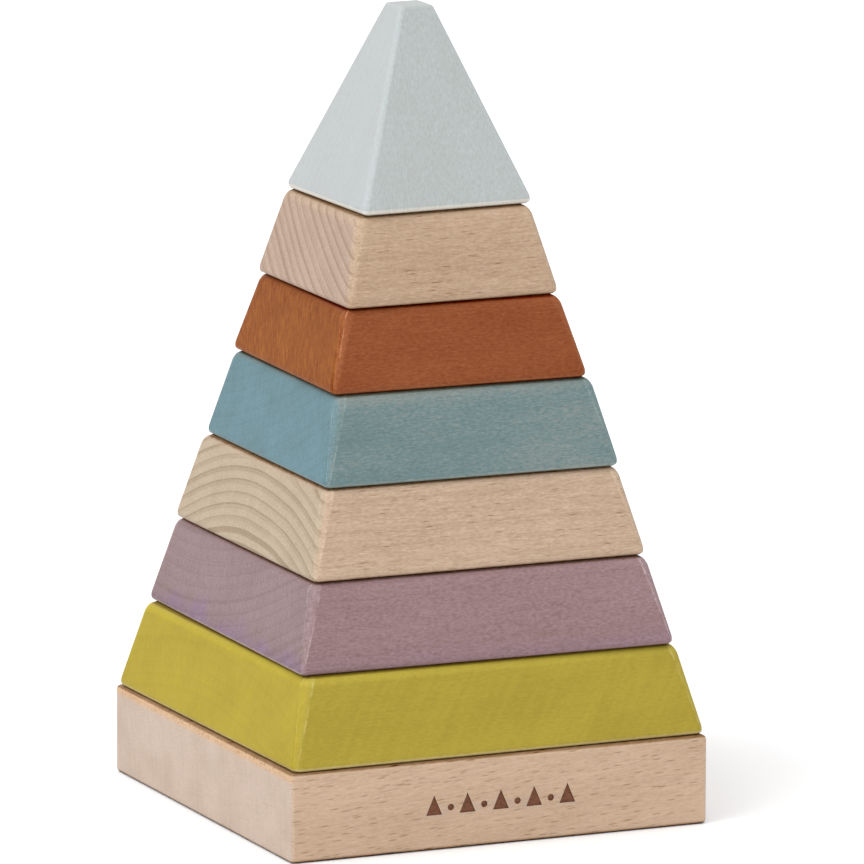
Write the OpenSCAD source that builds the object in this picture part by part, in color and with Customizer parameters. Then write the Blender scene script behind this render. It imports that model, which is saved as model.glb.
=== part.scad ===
// Stacking pyramid: a square base board with an upright rod, six square tiers with
// leaning sides that slide down over the rod, and a pyramid block that caps it.
// Millimetres, +Z up. The origin is the middle of the base board's underside.
// The wide long-grain faces look along -Y and +Y, the end-grain faces along -X and +X.

/* [Base] */
// Width and depth of the square base board
base_w = 100; // [99.6:0.2:130]
// Thickness of the base board
base_h = 20; // [16:0.5:30]

/* [Tiers] */
// Thickness of each tier, from the lime tier up
tier_h = [20, 19.5, 19.5, 19.5, 18, 19.5]; // [16:0.5:24]
// Width of the lime tier's underside, the widest of the tiers
lime_w = 99.6; // [96:0.2:99.6]
// How much narrower each underside is than the one below it
tier_step = 9.6; // [8:0.1:10]
// How much narrower a tier's top is than the underside that rests on it
tier_lap = 0.5; // [0:0.1:2]

/* [Top block] */
// Height of the pyramid block that caps the stack
top_h = 43; // [38:0.5:60]
// Width of the small flat at its tip
tip_w = 8.2; // [6:0.2:12]

/* [Rod and holes] */
// Diameter of the upright rod
rod_d = 12; // [8:0.5:12.5]
// Depth of the rod's glued seat in the base board
rod_seat = 14; // [8:1:14]
// How far the rod reaches into the top block
rod_reach = 22; // [12:1:24]
// Diameter of the holes in the tiers and in the top block
hole_d = 14; // [13.8:0.2:15]
// Clear height left above the rod's tip in the top block's blind hole
hole_spare = 2; // [1:0.5:3]
// Width of the bevel around the mouth of each hole
mouth_cut = 0.8; // [0.2:0.1:1.5]

/* [Gaps] */
// Air between two faces that rest on each other
rest_gap = 0.02; // [0.01:0.01:0.1]
// Glue film between the rod and the wall of its seat
glue_gap = 0.05; // [0.02:0.01:0.1]

/* [Edges] */
// Radius of the round along each loose piece's upper edges
upper_round = 2.2; // [0.5:0.1:2.8]
// Radius of the round along each loose piece's lower edges
lower_round = 1.2; // [0.3:0.1:2]
// Radius of the round along the base board's edges and the top block's tip
small_round = 1; // [0.3:0.1:1.5]
// Width of the bevel down each of the four corners
corner_cut = 1.2; // [0.3:0.1:2]

/* [Lie of the loose pieces on the rod] */
// Turn of each piece about the rod in degrees, from the lime tier up to the top block
lie_turn = [0.3, -0.8, -0.4, -0.9, -1.6, -0.2, 1.5]; // [-3:0.1:3]
// Shift of each piece along X within the slack of its hole
lie_x = [0, 0.1, -0.1, 0.4, -0.1, -0.5, -0.3]; // [-0.5:0.1:0.5]
// Shift of each piece along Y within the slack of its hole
lie_y = [0, 0, 0.1, -0.2, 0.1, 0.2, 0.1]; // [-0.5:0.1:0.5]

/* [Hidden] */

$fn = 96;
// Number of the top block, counted from the lime tier as 0
top_index = len(tier_h);
// Flat steps that make up each round
round_steps = 3;
// How far a cut runs past the face it opens
over = 1;
beech = "#d8bc9c";

// Width of the underside of piece number i, counted from the lime tier as 0
function underside_w(i) = lime_w - tier_step * i;
// Width of the top of tier number i
function upper_w(i) = underside_w(i + 1) - tier_lap;
// Height at which the underside of piece number i rests
function rest_z(i) = rest_gap + (i == 0 ? base_h : rest_z(i - 1) + tier_h[i - 1]);

// The vector v turned by an angle in degrees
function turned(v, angle) =
    [v[0] * cos(angle) - v[1] * sin(angle), v[0] * sin(angle) + v[1] * cos(angle)];

// Points of a round of radius r at corner b of the path from a to c
function rounded_corner(a, b, c, r) =
    let (
        to_a = (a - b) / norm(a - b),
        to_c = (c - b) / norm(c - b),
        half = acos(to_a * to_c) / 2,
        middle = b + (to_a + to_c) / norm(to_a + to_c) * r / sin(half),
        first = b + to_a * r / tan(half) - middle
    )
    [for (i = [0:round_steps]) middle + turned(first, (180 - 2 * half) * i / round_steps)];

// Prism that leans in on two opposite sides, long enough to hold a block of width w0.
// r0 and r1 are the radii of its lower and upper edges, and 0 leaves them sharp.
module leaning_prism(w0, w1, h, r0, r1) {
    corners = [[-w0 / 2, 0], [w0 / 2, 0], [w1 / 2, h], [-w1 / 2, h]];
    radii = [r0, r0, r1, r1];
    rotate([90, 0, 0])
        linear_extrude(height = 2 * w0, center = true)
            polygon([for (i = [0:3])
                let (before = corners[(i + 3) % 4], after = corners[(i + 1) % 4])
                each radii[i] == 0 ? [corners[i]]
                    : rounded_corner(before, corners[i], after, radii[i])]);
}

// Square block of width w0 below and w1 above, with rounded edges and bevelled corners
module block(w0, w1, h, r0, r1) {
    diagonal_0 = (w0 - corner_cut) * sqrt(2);
    diagonal_1 = (w1 - corner_cut) * sqrt(2);
    intersection() {
        leaning_prism(w0, w1, h, r0, r1);
        rotate(90) leaning_prism(w0, w1, h, r0, r1);
        rotate(45) leaning_prism(diagonal_0, diagonal_1, h, 0, 0);
        rotate(135) leaning_prism(diagonal_0, diagonal_1, h, 0, 0);
    }
}

// Mouth bevel of a hole, opening downwards from height mouth_cut to the block's underside
module mouth() {
    cylinder(d1 = hole_d + 2 * mouth_cut, d2 = hole_d, h = mouth_cut);
}

// Puts a loose piece where it rests on the stack
module lie(i) {
    translate([lie_x[i], lie_y[i], rest_z(i)]) rotate(lie_turn[i]) children();
}

// One tier: a leaning block with a hole right through it
module tier(i) {
    h = tier_h[i];
    lie(i) difference() {
        block(underside_w(i), upper_w(i), h, lower_round, upper_round);
        translate([0, 0, -over]) cylinder(d = hole_d, h = h + 2 * over);
        mouth();
        translate([0, 0, h]) mirror([0, 0, 1]) mouth();
    }
}

// Square board with straight sides and a blind seat for the rod
module base_board() {
    color(beech) difference() {
        block(base_w, base_w, base_h, small_round, small_round);
        translate([0, 0, base_h - rod_seat])
            cylinder(d = rod_d + 2 * glue_gap, h = rod_seat + over);
    }
}

// Turned dowel with a round tip, glued into the base board
module centre_rod() {
    foot_z = base_h - rod_seat + rest_gap;
    shoulder_z = rest_z(top_index) + rod_reach - rod_d / 2;
    color(beech) {
        translate([0, 0, foot_z]) cylinder(d = rod_d, h = shoulder_z - foot_z);
        translate([0, 0, shoulder_z]) sphere(d = rod_d);
    }
}

module lime_tier() { color("#b9aa46") tier(0); }

module mauve_tier() { color("#a58f97") tier(1); }

module lower_natural_tier() { color(beech) tier(2); }

module blue_tier() { color("#769ba4") tier(3); }

module rust_tier() { color("#a05a2c") tier(4); }

module upper_natural_tier() { color(beech) tier(5); }

// Pyramid with a small flat at its tip and a blind hole for the end of the rod
module top_block() {
    color("#c5cecf") lie(top_index) difference() {
        block(underside_w(top_index), tip_w, top_h, lower_round, small_round);
        translate([0, 0, -over]) cylinder(d = hole_d, h = rod_reach + hole_spare + over);
        mouth();
    }
}

base_board();
centre_rod();
lime_tier();
mauve_tier();
lower_natural_tier();
blue_tier();
rust_tier();
upper_natural_tier();
top_block();
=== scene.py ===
# Stacking pyramid: a square beech board with a glued rod, six drilled tiers and a drilled top.
# Each block is sawn from one board, drilled, sanded, then stained or left natural, and all of
# them drop over the rod one by one. Lengths are in millimetres until a mesh or light is made.
import math

import bmesh
import bpy
from mathutils import Matrix, Vector, noise


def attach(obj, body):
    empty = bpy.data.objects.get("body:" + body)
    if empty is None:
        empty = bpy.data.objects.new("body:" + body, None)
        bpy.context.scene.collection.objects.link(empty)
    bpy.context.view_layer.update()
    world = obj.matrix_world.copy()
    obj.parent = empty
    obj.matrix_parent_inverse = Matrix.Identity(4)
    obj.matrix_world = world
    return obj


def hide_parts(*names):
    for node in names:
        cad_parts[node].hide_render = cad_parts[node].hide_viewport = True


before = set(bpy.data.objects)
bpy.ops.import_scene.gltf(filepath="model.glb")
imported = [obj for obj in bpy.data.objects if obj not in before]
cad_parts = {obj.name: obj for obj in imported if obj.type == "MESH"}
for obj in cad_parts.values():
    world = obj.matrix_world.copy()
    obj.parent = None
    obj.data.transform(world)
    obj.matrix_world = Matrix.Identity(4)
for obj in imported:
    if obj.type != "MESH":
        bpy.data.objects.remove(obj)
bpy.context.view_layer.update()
scene = bpy.context.scene
scene.view_settings.view_transform = "Standard"
MM = 0.001

# ---------------------------------------------------------------------------------------------
# The studio. A long lens stands far off, a little above the object and to its left, on a white
# table under a wide soft light from the upper left and a pale room all round.
view_azimuth, view_elevation, view_roll = (math.radians(a) for a in (-23.9, 11.021, 0.177))
view_distance = 2.552
lens_length = 480
target_height = 0.090
aim_right, aim_down = 0.0050, 0.00690


class Shade:
    """A shader value. Arithmetic on it adds Math nodes, and add() any other node."""

    def __init__(self, socket):
        self.socket = socket

    def add(self, kind, settings=None, sockets=None, out=0):
        tree = self.socket.id_data
        made = tree.nodes.new(kind)
        for name, value in (settings or {}).items():
            setattr(made, name, value)
        for name, value in (sockets or {}).items():
            if isinstance(value, Shade):
                tree.links.new(value.socket, made.inputs[name])
            else:
                made.inputs[name].default_value = value
        return Shade(made.outputs[out]) if made.outputs else None

    def math(self, operation, first, second=0.0):
        return self.add("ShaderNodeMath", {"operation": operation}, {0: first, 1: second})

    def __add__(self, other):
        return self.math("ADD", self, other)

    def __radd__(self, other):
        return self.math("ADD", other, self)

    def __sub__(self, other):
        return self.math("SUBTRACT", self, other)

    def __rsub__(self, other):
        return self.math("SUBTRACT", other, self)

    def __mul__(self, other):
        return self.math("MULTIPLY", self, other)

    def __rmul__(self, other):
        return self.math("MULTIPLY", other, self)

    def __truediv__(self, other):
        return self.math("DIVIDE", self, other)


def new_material(name):
    """An empty material and its Object coordinates."""
    material = bpy.data.materials.new(name)
    material.use_nodes = True
    material.node_tree.nodes.clear()
    coordinates = material.node_tree.nodes.new("ShaderNodeTexCoord")
    return material, Shade(coordinates.outputs["Object"])


def linear(red, green, blue):
    """A screen colour of 0 to 255 as the light it stands for."""
    return tuple(
        c / 12.92 if c <= 0.04045 else ((c + 0.055) / 1.055) ** 2.4
        for c in (red / 255, green / 255, blue / 255)
    )


def step_up(value, low, high):
    """0 below low, 1 above high, smooth between them."""
    return value.add(
        "ShaderNodeMapRange",
        {"interpolation_type": "SMOOTHSTEP"},
        {"Value": value, "From Min": low, "From Max": high},
    )


def mixed(share, first, second):
    """first where share is 0 and second where it is 1."""
    pair = {6: first, 7: second}
    for key, colour in pair.items():
        if not isinstance(colour, Shade):
            pair[key] = (*colour, 1)
    return share.add("ShaderNodeMix", {"data_type": "RGBA"}, {0: share, **pair}, out=2)


def stretched(place, x, y, z):
    """Coordinates in which one unit is x, y and z long."""
    return place.add(
        "ShaderNodeVectorMath", {"operation": "MULTIPLY"}, {0: place, 1: (1 / x, 1 / y, 1 / z)}
    )


def cloud(place, scale=1.0, detail=2.0, roughness=0.5, out=0):
    """Soft noise of 0 to 1, about 0.5 on average."""
    return place.add(
        "ShaderNodeTexNoise",
        {},
        {"Vector": place, "Scale": scale, "Detail": detail, "Roughness": roughness},
        out=out,
    )


across = Vector((math.cos(view_azimuth), math.sin(view_azimuth), 0))
backward = Vector(
    (
        math.sin(view_azimuth) * math.cos(view_elevation),
        -math.cos(view_azimuth) * math.cos(view_elevation),
        math.sin(view_elevation),
    )
)
upward = backward.cross(across)
camera_place = Vector((0, 0, target_height)) + backward * view_distance
aim = Vector((0, 0, target_height)) + across * aim_right - upward * aim_down
backward = (camera_place - aim).normalized()
across = Vector((0, 0, 1)).cross(backward).normalized()
upward = backward.cross(across)
rolled_across = across * math.cos(view_roll) + upward * math.sin(view_roll)
rolled_upward = upward * math.cos(view_roll) - across * math.sin(view_roll)
camera_turn = Matrix((rolled_across, rolled_upward, backward)).transposed().to_euler()
bpy.ops.object.select_all(action="DESELECT")
bpy.ops.object.camera_add(location=camera_place, rotation=camera_turn)
camera = bpy.context.object
camera.data.sensor_width = 36
camera.data.lens = lens_length
camera.data.clip_start = 0.1
camera.data.clip_end = 100
scene.camera = camera

table_radius = 40
bpy.ops.object.select_all(action="DESELECT")
bpy.ops.mesh.primitive_circle_add(vertices=128, radius=table_radius, fill_type="NGON")
table = bpy.context.object
table.name = "studio_table"
table_paint, table_place = new_material("white table")
table_tone = cloud(table_place, 3.0)
table_colour = mixed(table_tone, (0.87, 0.87, 0.88), (0.89, 0.89, 0.90))
table_shader = table_place.add(
    "ShaderNodeBsdfPrincipled",
    {},
    {"Base Color": table_colour, "Roughness": 0.7 + 0.1 * table_tone, "Specular IOR Level": 0.1},
)
table_place.add("ShaderNodeOutputMaterial", {}, {"Surface": table_shader})
table.data.materials.append(table_paint)

sun_side, sun_height, sun_softness = (math.radians(a) for a in (-80, 50, 35))
sun_power, sun_distance = 1.0, 3
sun_place = Vector(
    (
        math.sin(sun_side) * math.cos(sun_height),
        -math.cos(sun_side) * math.cos(sun_height),
        math.sin(sun_height),
    )
)
bpy.ops.object.light_add(
    type="SUN",
    location=sun_place * sun_distance,
    rotation=sun_place.to_track_quat("Z", "Y").to_euler(),
)
window = bpy.context.object
window.name = "left_window"
window.data.energy = sun_power
window.data.angle = sun_softness

world = bpy.data.worlds.new("pale room")
world.use_nodes = True
scene.world = world
room = Shade(world.node_tree.nodes.new("ShaderNodeTexCoord").outputs["Generated"])
room_x, room_z = (room.add("ShaderNodeSeparateXYZ", {}, {0: room}, out=i) for i in (0, 2))
low_light, high_light, right_loss = (0.95, 0.95, 0.95), (1.35, 1.35, 1.35), 0.18
room_light = mixed(step_up(room_z, 0.1, 0.95), low_light, high_light)
room_strength = 1.0 - right_loss * room_x
background = world.node_tree.nodes["Background"]
world.node_tree.links.new(room_light.socket, background.inputs["Color"])
world.node_tree.links.new(room_strength.socket, background.inputs["Strength"])

# ---------------------------------------------------------------------------------------------
# The base board. A square of planed beech, 20 mm thick with straight sides, lightly eased
# edges, a blind seat drilled for the rod, and a small row of burned marks on its wide side.


def select_parts(block, kind, wanted):
    """In edit mode, selects the faces or edges for which wanted() holds, and nothing else."""
    bpy.ops.mesh.select_mode(type={"faces": "FACE", "edges": "EDGE"}[kind])
    bpy.ops.mesh.select_all(action="DESELECT")
    shape = bmesh.from_edit_mesh(block.data)
    for part in getattr(shape, kind):
        part.select_set(bool(wanted(part)))
    shape.select_flush_mode()
    bmesh.update_edit_mesh(block.data)


def apply_modifier(block, kind, **settings):
    modifier = block.modifiers.new(kind.lower(), kind)
    for name, value in settings.items():
        setattr(modifier, name, value)
    bpy.ops.object.select_all(action="DESELECT")
    block.select_set(True)
    bpy.context.view_layer.objects.active = block
    bpy.ops.object.modifier_apply(modifier=modifier.name)


def runs_along(edge, axis):
    """Whether an edge runs mostly along the x, y or z axis."""
    span = edge.verts[1].co - edge.verts[0].co
    return max("xyz", key=lambda letter: abs(getattr(span, letter))) == axis


slanted_foot = 0.7
unevenness, unevenness_pitch = 0.12, 70
round_steps = 6


def sawn_block(name, width, top_width, height, rounds, swell=0.0, cuts=9, rises=3):
    """A square block that stands on the XY plane and leans in on four sides. rounds are the
    radii of its lower, slanted and upper edges, which hand sanding leaves a little uneven.
    The slanted ones start at a share of theirs, slanted_foot, which grows by swell upwards."""
    wide, narrow, tall = width * MM, top_width * MM, height * MM
    bpy.ops.object.select_all(action="DESELECT")
    bpy.ops.mesh.primitive_cube_add(size=1, location=(0, 0, tall / 2), scale=(wide, wide, tall))
    block = bpy.context.object
    block.name = block.data.name = name
    bpy.ops.object.transform_apply(location=True, rotation=True, scale=True)
    bpy.ops.object.mode_set(mode="EDIT")
    select_parts(block, "faces", lambda face: face.normal.z > 0.9)
    shrink = narrow / wide
    bpy.ops.transform.resize(value=(shrink, shrink, 1), center_override=(0, 0, tall))
    for axis in "xyz":
        select_parts(block, "edges", lambda edge: runs_along(edge, axis))
        bpy.ops.mesh.subdivide(number_cuts=rises if axis == "z" else cuts)
    bpy.ops.object.mode_set(mode="OBJECT")
    lean = math.atan2((wide - narrow) / 2, tall)
    lower, slanted, upper = (
        radius * MM / math.tan(half_angle)
        for radius, half_angle in zip(
            rounds, (math.pi / 4 - lean / 2, math.pi / 4, math.pi / 4 + lean / 2)
        )
    )
    widest = max(lower, slanted * (slanted_foot + max(swell, 0)), upper) * (1 + unevenness)
    weights = block.data.attributes.new("bevel_weight_edge", "FLOAT", "EDGE")
    half = wide / 2
    for edge in block.data.edges:
        ends = [block.data.vertices[i].co for i in edge.vertices]
        middle = (ends[0] + ends[1]) / 2
        side = half + (narrow / 2 - half) * middle.z / tall
        near = sum(abs(abs(c) - side) < 1e-6 for c in (middle.x, middle.y))
        flat = abs(ends[0].z - ends[1].z) < 1e-7
        size = 0
        if flat and middle.z < 1e-6 and near == 1:
            size = lower
        elif flat and middle.z > tall - 1e-6 and near == 1:
            size = upper
        elif near == 2:
            size = slanted * (slanted_foot + swell * middle.z / tall)
        if size:
            wobble = noise.noise(middle * unevenness_pitch + Vector((width, height, len(name))))
            weights.data[edge.index].value = size * (1 + unevenness * wobble) / widest
    apply_modifier(
        block,
        "BEVEL",
        width=widest,
        limit_method="WEIGHT",
        segments=round_steps,
        use_clamp_overlap=False,
    )
    return block


def drilled(block, diameter, bottom, top, mouth_low=0, mouth_high=0):
    """Drills a hole from height bottom to top through the block, with bevelled mouths."""
    over = 1
    start = bottom - (over if mouth_low else 0)
    end = top + (over if mouth_high else 0)
    radius = diameter / 2
    rings = [(start, radius + (mouth_low + over if mouth_low else 0))]
    if mouth_low:
        rings.append((bottom + mouth_low, radius))
    if mouth_high:
        rings.append((top - mouth_high, radius))
    rings.append((end, radius + (mouth_high + over if mouth_high else 0)))
    bpy.ops.object.select_all(action="DESELECT")
    bpy.ops.mesh.primitive_cylinder_add(
        vertices=96,
        radius=rings[0][1] * MM,
        depth=(rings[1][0] - rings[0][0]) * MM,
        location=(0, 0, (rings[0][0] + rings[1][0]) / 2 * MM),
    )
    drill = bpy.context.object
    bpy.ops.object.transform_apply(location=True, rotation=True, scale=True)
    bpy.ops.object.mode_set(mode="EDIT")
    reached, reach_radius = rings[1][0], rings[0][1]
    select_parts(drill, "faces", lambda face: face.normal.z > 0.9)
    for place, (next_z, next_radius) in enumerate(rings[1:]):
        if place:
            bpy.ops.mesh.extrude_region_move(
                TRANSFORM_OT_translate={"value": (0, 0, (next_z - reached) * MM)}
            )
        grow = next_radius / reach_radius
        bpy.ops.transform.resize(value=(grow, grow, 1), center_override=(0, 0, next_z * MM))
        reached, reach_radius = next_z, next_radius
    bpy.ops.object.mode_set(mode="OBJECT")
    apply_modifier(block, "BOOLEAN", object=drill, operation="DIFFERENCE", solver="EXACT")
    bpy.data.objects.remove(drill)


smooth_below = 28


def finished(block, turn, shift, rest):
    """Marks the end grain, lays the block where it rests, and smooths its rounded edges."""
    block.data.update()
    grain = block.data.attributes.new("end_grain", "FLOAT", "POINT")
    for vertex in block.data.vertices:
        grain.data[vertex.index].value = abs(vertex.normal.x)
    block.rotation_euler = (0, 0, math.radians(turn))
    block.location = (shift[0] * MM, shift[1] * MM, rest * MM)
    bpy.ops.object.select_all(action="DESELECT")
    block.select_set(True)
    bpy.context.view_layer.objects.active = block
    bpy.ops.object.transform_apply(location=True, rotation=True, scale=True)
    bpy.ops.object.shade_smooth_by_angle(angle=math.radians(smooth_below))
    apply_modifier(block, "WEIGHTED_NORMAL", mode="FACE_AREA", weight=100, keep_sharp=True)


def dabs(place, slimness):
    """How far each point is from the middle of the nearest of many scattered dabs, which are
    slimness times as thin as they are high, and a chance of 0 to 1 that each dab has."""
    cell = place.add("ShaderNodeTexVoronoi", {}, {"Vector": place, "Scale": 1.0})
    chance, middle = (Shade(cell.socket.node.outputs[name]) for name in ("Color", "Position"))
    offset = place.add("ShaderNodeVectorMath", {"operation": "SUBTRACT"}, {0: place, 1: middle})
    offset = stretched(offset, 1, 1 / slimness, 1)
    distance = offset.add("ShaderNodeVectorMath", {"operation": "LENGTH"}, {0: offset}, out=1)
    return distance, chance.add("ShaderNodeSeparateColor", {}, {0: chance})


relief_depth = 0.02


class Wood:
    """The figure of one beech block, as shader values in millimetres of the block's own frame.

    pith is the heart of the tree in the block's YZ plane, and lean the slope of the grain in
    degrees, upwards and sideways. Rings lie round the pith, rays run out from it, and flecks
    are where a ray meets a side. corner_round is the width of the lighter strip beside a corner,
    at the foot and at the top, and covered is 0 for a block with nothing resting on it. Shade
    is painted where two blocks meet, along their outer edges."""

    def __init__(
        self,
        name,
        size,
        turn,
        shift,
        rest,
        pith,
        lean,
        ring,
        corner_round=(0.95, 2.55),
        covered=1.0,
    ):
        width, top_width, height = size
        self.material, place = new_material(name)
        self.mm = place.add(
            "ShaderNodeMapping",
            {"vector_type": "TEXTURE"},
            {
                "Vector": place,
                "Location": (shift[0] * MM, shift[1] * MM, rest * MM),
                "Rotation": (0, 0, math.radians(turn)),
                "Scale": (MM, MM, MM),
            },
        )
        outward = math.atan2(height / 2 - pith[1], -pith[0])
        reach = math.hypot(height / 2 - pith[1], pith[0])
        straight = self.mm.add(
            "ShaderNodeMapping",
            {"vector_type": "TEXTURE"},
            {
                "Vector": self.mm,
                "Location": (0, pith[0], pith[1]),
                "Rotation": (outward, -math.radians(lean[0]), math.radians(lean[1])),
            },
        )
        sway = cloud(stretched(straight, 90, 22, 22), out=1)
        sway = sway.add("ShaderNodeVectorMath", {"operation": "SUBTRACT"}, {0: sway, 1: (0.5,) * 3})
        sway = stretched(sway, 1, 0.8, 0.8)
        self.grain = straight.add(
            "ShaderNodeVectorMath", {"operation": "ADD"}, {0: straight, 1: sway}
        )
        along, out_y, out_z = (
            self.grain.add("ShaderNodeSeparateXYZ", {}, {0: self.grain}, out=i) for i in range(3)
        )
        flat = along.add("ShaderNodeCombineXYZ", {}, {"Y": out_y, "Z": out_z})
        radius = flat.add("ShaderNodeVectorMath", {"operation": "LENGTH"}, {0: flat}, out=1)
        bearing = along.math("ARCTAN2", out_z, out_y) * reach
        spread = radius.add(
            "ShaderNodeTexNoise", {"noise_dimensions": "1D"}, {"W": radius * 0.21, "Detail": 1.0}
        )
        count = radius / ring + 0.7 * spread
        part = along.math("FRACT", count)
        late_wood = step_up(part, 0.30, 0.92) * (1 - step_up(part, 0.94, 1.0))
        late_line = step_up(part, 0.74, 0.88) * (1 - step_up(part, 0.92, 1.0))
        self.rings = 0.55 * late_wood + 0.55 * late_line
        rays = along.add(
            "ShaderNodeCombineXYZ", {}, {"X": along / 4.2, "Y": bearing / 0.72, "Z": radius / 24}
        )
        distance, chance = dabs(rays, 2.5)
        self.flecks = (1 - step_up(distance, 0.14, 0.36)) * step_up(chance, -0.5, 0.35)
        distance, chance = dabs(stretched(self.grain, 5.2, 0.62, 0.62), 1.5)
        self.dashes = (1 - step_up(distance, 0.08, 0.32)) * step_up(chance, 0.0, 0.75)
        self.rays = cloud(stretched(rays, 1.0, 0.5, 0.13), detail=3.0, roughness=0.6) - 0.5
        self.fibres = cloud(stretched(self.grain, 5, 0.42, 0.42), detail=3.0, roughness=0.6) - 0.5
        self.pores = cloud(stretched(self.grain, 1.3, 0.24, 0.24), detail=1.0) - 0.5
        self.mottle = cloud(stretched(self.grain, 0.9, 0.5, 0.5), detail=2.0, roughness=0.6) - 0.5
        self.patches = cloud(stretched(self.grain, 34, 9, 9), detail=2.0) - 0.5
        marked = along.add("ShaderNodeAttribute", {"attribute_name": "end_grain"}, out=2)
        self.end = step_up(marked, 0.45, 0.85)
        x, y, z = (self.mm.add("ShaderNodeSeparateXYZ", {}, {0: self.mm}, out=i) for i in range(3))
        self.x, self.y, self.z = x, y, z
        side = width / 2 + (top_width - width) / 2 / height * z
        inner, outer = (
            x.math(choice, x.math("ABSOLUTE", x), x.math("ABSOLUTE", y))
            for choice in ("MINIMUM", "MAXIMUM")
        )
        ragged = cloud(self.mm, 0.9, detail=3.0, roughness=0.65) - 0.5
        self.ragged = ragged
        round_low, round_high = corner_round
        strip = (side - inner) / (round_low + (round_high - round_low) / height * z)
        # corner: a strip beside each slanted corner, made lighter than both faces next to it.
        self.corner = 1 - step_up(strip + 0.3 * ragged, 0.80, 1.0)
        patchy = cloud(stretched(self.mm, 3, 3, 3), detail=3.0, roughness=0.7)
        border = 1 - step_up(x.math("ABSOLUTE", strip - 0.86 + 0.3 * ragged), 0.0, 0.18)
        self.border = border * step_up(patchy, 0.38, 0.62) * (1 - 0.5 * self.end)
        self.crest = (1 - step_up(outer - inner, 0.05, 0.35)) * step_up(patchy, 0.35, 0.65)
        self.lower_edge = 1 - step_up(z + 0.6 * ragged, 0.5, 1.15)
        self.upper_edge = 1 - step_up(height - z + 1.5 * ragged, 1.2, 2.4)
        self.rim = step_up(outer - side, -3.0, -2.0)
        # Painted shade in the joints: darker at the foot of the block and, where covered, along its
        # top, near the outer rim.
        painted_joint_shade = (1 - step_up(z, 0.10, 0.5)) + covered * (1 - step_up(height - z, 0.25, 0.65))
        self.painted_joint_shade = painted_joint_shade * self.rim

    def toned(self, colour, tone, depth=(0.85, 1.0, 1.2)):
        """colour made lighter or darker by the share tone, most of all in its blue."""
        change = tone.add("ShaderNodeVectorMath", {"operation": "SCALE"}, {0: depth, "Scale": tone})
        change = change.add("ShaderNodeVectorMath", {"operation": "ADD"}, {0: change, 1: (1, 1, 1)})
        return change.add("ShaderNodeVectorMath", {"operation": "MULTIPLY"}, {0: colour, 1: change})

    def figure(
        self, fibres=0, mottle=0, pores=0, dashes=0, flecks=0, rings=0, rays=0, patches=0
    ):
        """Light and dark of the bare wood, each mark in its share, with painted shade where two
        blocks meet. Rings show on the end grain, and little elsewhere."""
        return (
            fibres * self.fibres * (1 - 0.5 * self.end)
            + mottle * self.mottle
            + pores * self.pores
            + rays * self.rays * self.end
            + patches * self.patches
            - dashes * self.dashes * (1 - self.end)
            - flecks * self.flecks * (1 - 0.8 * self.end)
            - rings * self.rings * (0.25 + 0.75 * self.end)
            - 0.62 * self.painted_joint_shade
        )

    def painted(self, colour, roughness, relief, shine=0.2):
        """Ends the material with its colour, roughness, relief and shine."""
        bump = relief.add(
            "ShaderNodeBump", {}, {"Strength": 1.0, "Distance": relief_depth * MM, "Height": relief}
        )
        shader = relief.add(
            "ShaderNodeBsdfPrincipled",
            {},
            {
                "Base Color": colour,
                "Roughness": roughness,
                "Specular IOR Level": shine,
                "Normal": bump,
            },
        )
        relief.add("ShaderNodeOutputMaterial", {}, {"Surface": shader})
        return self.material


rest_gap = 0.02
base_width, base_height = 100, 20
base_lie = {"turn": 0, "shift": (0, 0), "rest": 0}
rod_width, seat_depth, glue_gap = 12, 14, 0.05
base_rounds = (1.0, 1.45, 1.0)
board = sawn_block("base_board", base_width, base_width, base_height, base_rounds)
drilled(board, rod_width + 2 * glue_gap, base_height - seat_depth, base_height + 1)
base_size = (base_width, base_width, base_height)
base_grain = {"pith": (85, 4), "lean": (4.5, 1.0), "ring": 2.6}
wood = Wood(
    "natural beech of the base", base_size, **base_lie, **base_grain, corner_round=(1.0, 1.0)
)
natural_long, natural_end = linear(186, 159, 134), linear(178, 159, 144)
colour = mixed(wood.end, natural_long, natural_end)
tone = wood.figure(
    fibres=0.40,
    mottle=0.22,
    pores=0.28,
    flecks=0.43,
    dashes=0.14,
    rings=0.03,
    rays=0.14,
    patches=0.34,
)
warm_edge = wood.upper_edge * wood.end
colour = mixed(0.8 * warm_edge, colour, linear(195, 159, 121))
tone = tone + 0.05 * wood.corner - 0.5 * warm_edge * step_up(wood.mottle, 0.06, 0.14)
tone = tone - 0.25 * wood.corner * step_up(wood.pores, 0.08, 0.2)
# Painted shadow along the foot of the board, where its eased lower edge meets the table.
tone = tone - 0.62 * (1 - step_up(wood.z, 0.3, 0.9))
board.data.materials.append(
    wood.painted(wood.toned(colour, tone), 0.55 + 0.2 * wood.pores, wood.fibres + wood.pores)
)

mark_height, mark_width, mark_middle, mark_pitch, dot_width = 4.4, 4.4, 9.4, 8, 1.5
mark_depth, cutter_length = 0.3, 2.0
triangle_height = 0.75
stamps = []
for number in range(-4, 5):
    bpy.ops.object.select_all(action="DESELECT")
    bpy.ops.mesh.primitive_cylinder_add(
        vertices=24 if number % 2 else 3,
        radius=MM / 2,
        depth=cutter_length * MM,
        location=(
            number * mark_pitch / 2 * MM,
            (-base_width / 2 - cutter_length / 2 + mark_depth) * MM,
            mark_middle * MM,
        ),
        rotation=(math.radians(90), 0, 0),
    )
    stamp = bpy.context.object
    bpy.ops.object.mode_set(mode="EDIT")
    bpy.ops.mesh.select_all(action="SELECT")
    if number % 2:
        wide, tall = dot_width, dot_width
    else:
        wide, tall = mark_width, mark_height / triangle_height
    bpy.ops.transform.resize(value=(wide, 1, tall), center_override=stamp.location)
    bpy.ops.object.mode_set(mode="OBJECT")
    stamps.append(stamp)
bpy.ops.object.select_all(action="DESELECT")
for stamp in stamps:
    stamp.select_set(True)
bpy.context.view_layer.objects.active = stamps[0]
bpy.ops.object.join()
stamp = bpy.context.object
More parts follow.
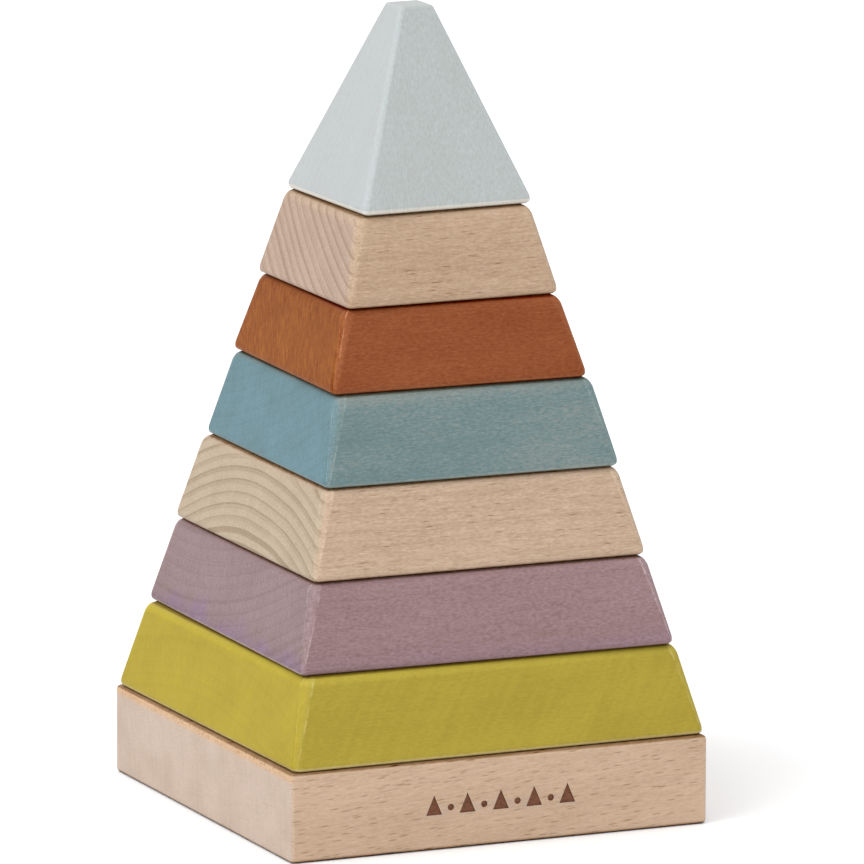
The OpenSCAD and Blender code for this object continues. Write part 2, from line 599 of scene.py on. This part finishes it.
bpy.ops.object.transform_apply(location=True, rotation=True, scale=True)
burned_wood = Wood("beech burned by the stamp", base_size, **base_lie, **base_grain)
char = mixed(burned_wood.mottle * 2 + 0.5, linear(91, 57, 41), linear(127, 83, 61))
stamp.data.materials.append(
    burned_wood.painted(char, 0.75 + 0.2 * burned_wood.pores, burned_wood.mottle * 2)
)
apply_modifier(
    board,
    "BOOLEAN",
    object=stamp,
    operation="DIFFERENCE",
    solver="EXACT",
    material_mode="TRANSFER",
)
bpy.data.objects.remove(stamp)
finished(board, **base_lie)
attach(board, "base")
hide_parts("base_board")

# ---------------------------------------------------------------------------------------------
# The rod. A 12 mm beech dowel, turned with a round tip and glued into the base board.
rod_foot = base_height - seat_depth + rest_gap
rod_tip = 158.14
rod_radius = rod_width / 2
bpy.ops.object.select_all(action="DESELECT")
bpy.ops.mesh.primitive_cylinder_add(
    vertices=96,
    radius=rod_radius * MM,
    depth=(rod_tip - rod_radius - rod_foot) * MM,
    location=(0, 0, (rod_tip - rod_radius + rod_foot) / 2 * MM),
)
rod = bpy.context.object
rod.name = rod.data.name = "centre_rod"
bpy.ops.object.transform_apply(location=True, rotation=True, scale=True)
bpy.ops.object.mode_set(mode="EDIT")
select_parts(rod, "faces", lambda face: face.normal.z > 0.9)
dome_steps = 14
reach_radius, reached = rod_radius, 0.0
for step in range(1, dome_steps + 1):
    slope = math.pi / 2 * step / (dome_steps + 0.5)
    next_radius, next_height = rod_radius * math.cos(slope), rod_radius * math.sin(slope)
    bpy.ops.mesh.extrude_region_move(
        TRANSFORM_OT_translate={"value": (0, 0, (next_height - reached) * MM)}
    )
    shrink = next_radius / reach_radius
    bpy.ops.transform.resize(value=(shrink, shrink, 1), center_override=(0, 0, 0))
    reach_radius, reached = next_radius, next_height
bpy.ops.object.mode_set(mode="OBJECT")
rod_lie = {"turn": 0, "shift": (0, 0), "rest": 0}
finished(rod, **rod_lie)
wood = Wood(
    "natural beech of the rod",
    (rod_width, rod_width, rod_tip),
    **rod_lie,
    pith=(30, 60),
    lean=(88, 1.0),
    ring=2.2,
)
colour = mixed(wood.patches + 0.5, natural_long, natural_end)
tone = wood.figure(fibres=0.45, mottle=0.2, dashes=0.15, rings=0.1)
rod.data.materials.append(
    wood.painted(wood.toned(colour, tone), 0.5 + 0.2 * wood.pores, wood.fibres + wood.pores)
)
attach(rod, "base")
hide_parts("centre_rod")

# ---------------------------------------------------------------------------------------------
# The lime tier, the widest and lowest of the six. Each tier is cut on a slant, drilled right
# through for the rod, and sanded rounder along its upper edges than along its lower ones.
tier_heights = [20, 19.5, 19.5, 19.5, 18, 19.5]
lime_width, tier_step, tier_lap = 99.6, 9.6, 0.5
hole_width, mouth_cut = 14, 0.8
lower_round, slanted_round, upper_round = 1.3, 1.7, 2.9
lie_turns = [0.3, -0.8, -0.4, -0.9, -1.6, -0.2, 1.5]
lie_shifts = [(0, 0), (0.1, 0), (-0.1, 0.1), (0.4, -0.2), (-0.1, 0.1), (-0.5, 0.2), (-0.3, 0.1)]


def rest_height(number):
    """Height at which piece number 0 to 6, counted from the lime tier, rests."""
    return base_height + sum(tier_heights[:number]) + rest_gap * (number + 1)


def make_tier(name, number):
    """The tier's mesh, drilled and laid on the stack, and what its wood needs to know."""
    width = lime_width - tier_step * number
    size = (width, width - tier_step - tier_lap, tier_heights[number])
    tier = sawn_block(name, *size, (lower_round, slanted_round, upper_round), swell=0.85)
    drilled(tier, hole_width, 0, size[2], mouth_cut, mouth_cut)
    lie = {"turn": lie_turns[number], "shift": lie_shifts[number], "rest": rest_height(number)}
    finished(tier, **lie)
    return tier, {"size": size, **lie}


def joined(piece, name):
    """Ties a loose piece to the body and CAD node of its own name."""
    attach(piece, name)
    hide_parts(name)


lime_tier, facts = make_tier("lime_tier", 0)
wood = Wood("lime stained beech", **facts, pith=(5, -140), lean=(1.0, 1.0), ring=2.6)
colour = mixed(wood.end, linear(157, 140, 50), linear(156, 138, 31))
tone = wood.figure(fibres=0.12, mottle=0.20, pores=0.26, rings=0.04, rays=0.40, patches=0.25)
slanting = wood.mm.add(
    "ShaderNodeMapping",
    {"vector_type": "TEXTURE"},
    {"Vector": wood.mm, "Rotation": (0, math.radians(-58), 0), "Scale": (14, 14, 1.3)},
)
tone = tone + 0.20 * (cloud(slanting) - 0.5) * (1 - wood.end)
colour = mixed(0.65 * wood.lower_edge, colour, linear(197, 179, 129))
colour = mixed(0.4 * wood.corner, colour, linear(161, 144, 59))
colour = mixed(0.5 * wood.border, colour, linear(190, 177, 111))
# The rounded upper edge is made lighter: a painted highlight.
tone = tone + 0.06 * wood.corner + 0.15 * wood.upper_edge
lime_tier.data.materials.append(
    wood.painted(
        wood.toned(colour, tone), 0.5 + 0.2 * wood.pores, wood.fibres + wood.pores, shine=0.14
    )
)
joined(lime_tier, "lime_tier")

# ---------------------------------------------------------------------------------------------
# The mauve tier, on which the stain took unevenly, bluer at the end grain.
mauve_tier, facts = make_tier("mauve_tier", 1)
wood = Wood("mauve stained beech", **facts, pith=(34, 152), lean=(1.0, 1.0), ring=2.8)
colour = mixed(wood.end, linear(139, 112, 113), linear(130, 108, 109))
tone = wood.figure(
    fibres=0.26, mottle=0.75, pores=0.50, dashes=0.04, rings=0.13, rays=0.5, patches=0.3
)
cool = step_up(7 - wood.z + 10 * wood.patches, 0, 7) * (0.35 + 0.65 * wood.end)
colour = mixed(0.8 * cool, colour, linear(115, 93, 115))
colour = mixed(0.6 * wood.lower_edge * wood.end, colour, linear(178, 158, 154))
colour = mixed((0.14 + 0.6 * wood.ragged) * wood.corner, colour, linear(174, 156, 158))
colour = mixed(0.5 * wood.border, colour, linear(188, 170, 170))
tone = tone + 0.04 * wood.corner
mauve_tier.data.materials.append(
    wood.painted(wood.toned(colour, tone), 0.5 + 0.2 * wood.pores, wood.fibres + wood.pores)
)
joined(mauve_tier, "mauve_tier")

# ---------------------------------------------------------------------------------------------
# The lower natural tier, beech with only an oil on it and wide arched rings at its ends.
lower_natural_tier, facts = make_tier("lower_natural_tier", 2)
wood = Wood("oiled beech, lower", **facts, pith=(-2, -73), lean=(0.5, 1.0), ring=2.7)
colour = mixed(wood.end, linear(178, 153, 130), linear(166, 149, 127))
tone = wood.figure(
    fibres=0.55, mottle=0.40, pores=0.50, dashes=0.52, rings=0.32, rays=0.12, patches=0.2
)
colour = mixed(0.5 * wood.border, colour, linear(203, 184, 156))
tone = tone + 0.08 * wood.corner
lower_natural_tier.data.materials.append(
    wood.painted(wood.toned(colour, tone), 0.5 + 0.2 * wood.pores, wood.fibres + wood.pores)
)
joined(lower_natural_tier, "lower_natural_tier")

# ---------------------------------------------------------------------------------------------
# The blue tier, stained thinly, so that bare wood shows in its pores and along its top edge.
blue_tier, facts = make_tier("blue_tier", 3)
wood = Wood("blue stained beech", **facts, pith=(60, 160), lean=(1.0, 1.0), ring=2.6)
colour = mixed(wood.end, linear(100, 123, 125), linear(88, 118, 126))
tone = wood.figure(fibres=0.26, mottle=0.42, pores=0.55, rings=0.06, rays=0.4, patches=0.35)
worn = 1.4 * wood.mottle + 0.8 * wood.pores + 0.14 * wood.upper_edge + 1.4 * wood.patches
bare = step_up(worn, -0.25, 0.5)
colour = mixed(0.33 * bare * (1 - wood.end), colour, linear(143, 129, 111))
colour = mixed(0.35 * wood.lower_edge, colour, linear(156, 165, 161))
colour = mixed(0.35 * wood.corner * wood.end, colour, linear(117, 134, 136))
colour = mixed(0.6 * wood.border, colour, linear(144, 156, 154))
tone = tone + 0.04 * wood.corner
blue_tier.data.materials.append(
    wood.painted(wood.toned(colour, tone), 0.5 + 0.2 * wood.pores, wood.fibres + wood.pores)
)
joined(blue_tier, "blue_tier")

# ---------------------------------------------------------------------------------------------
# The rust tier, deeply stained, with steep growth rings across its ends.
rust_tier, facts = make_tier("rust_tier", 4)
wood = Wood("rust stained beech", **facts, pith=(-62, -93), lean=(1.0, 1.0), ring=2.6)
colour = mixed(wood.end, linear(130, 71, 40), linear(127, 68, 16))
tone = wood.figure(
    fibres=0.30, mottle=0.55, pores=0.55, dashes=0.05, rings=0.03, rays=1.7, patches=0.4
)
colour = mixed(0.35 * wood.lower_edge, colour, linear(158, 103, 69))
colour = mixed(0.6 * wood.corner, colour, linear(138, 79, 47))
# A thin pale line, broken along its length, on the crest of each corner: a painted highlight.
crest_highlight = wood.crest * step_up(wood.ragged + 0.02 * wood.z, 0.0, 0.35)
colour = mixed(0.6 * crest_highlight, colour, linear(194, 136, 99))
tone = tone + 0.05 * wood.corner
rust_depth = (0.85, 1.5, 2.2)
colour = wood.toned(colour, tone, rust_depth)
rust_tier.data.materials.append(
    wood.painted(colour, 0.5 + 0.2 * wood.pores, wood.fibres + wood.pores, shine=0.08)
)
joined(rust_tier, "rust_tier")

# ---------------------------------------------------------------------------------------------
# The upper natural tier, oiled beech with rings that slant across its ends.
upper_natural_tier, facts = make_tier("upper_natural_tier", 5)
wood = Wood("oiled beech, upper", **facts, pith=(-74, 129), lean=(1.0, 1.0), ring=2.5)
colour = mixed(wood.end, linear(172, 146, 121), linear(165, 142, 125))
tone = wood.figure(
    fibres=0.55, mottle=0.45, pores=0.50, dashes=0.52, rings=0.26, rays=0.15, patches=0.2
)
edge = wood.corner + wood.upper_edge * wood.end
colour = mixed((0.45 + 1.1 * wood.ragged) * edge, colour, linear(188, 164, 138))
tone = tone - 0.30 * edge * step_up(wood.pores, 0.05, 0.2)
upper_natural_tier.data.materials.append(
    wood.painted(wood.toned(colour, tone), 0.5 + 0.2 * wood.pores, wood.fibres + wood.pores)
)
joined(upper_natural_tier, "upper_natural_tier")

# ---------------------------------------------------------------------------------------------
# The top block, a small pyramid with a flat tip, cut with its grain upright, drilled blind
# from below for the end of the rod, and stained a very pale blue.
top_height, tip_width = 43, 8.2
top_slanted_round, top_round = 1.9, 1.0
blind_depth = 24
top_width = lime_width - tier_step * 6
top_lie = {"turn": lie_turns[6], "shift": lie_shifts[6], "rest": rest_height(6)}
top_block = sawn_block(
    "top_block",
    top_width,
    tip_width,
    top_height,
    (lower_round, top_slanted_round, top_round),
    swell=-0.15,
    cuts=1,
    rises=8,
)
drilled(top_block, hole_width, 0, blind_depth, mouth_cut)
finished(top_block, **top_lie)
wood = Wood(
    "pale blue stained beech",
    (top_width, tip_width, top_height),
    **top_lie,
    pith=(60, 20),
    lean=(88, 0.5),
    ring=2.6,
    corner_round=(1.33, 1.05),
    covered=0.0,
)
colour = mixed(wood.end, linear(166, 171, 170), linear(165, 169, 169))
tone = wood.figure(fibres=0.42, mottle=0.05, pores=0.15, rings=0.02, patches=0.08)
bare_rim = 1 - step_up(wood.z + 0.3 * wood.ragged, 0.95, 1.4)
colour = mixed(0.65 * bare_rim, colour, linear(210, 204, 192))
tone = tone + 0.07 * wood.corner + 0.06 * wood.border
top_block.data.materials.append(
    wood.painted(wood.toned(colour, tone), 0.5 + 0.2 * wood.pores, wood.fibres + wood.pores)
)
joined(top_block, "top_block")
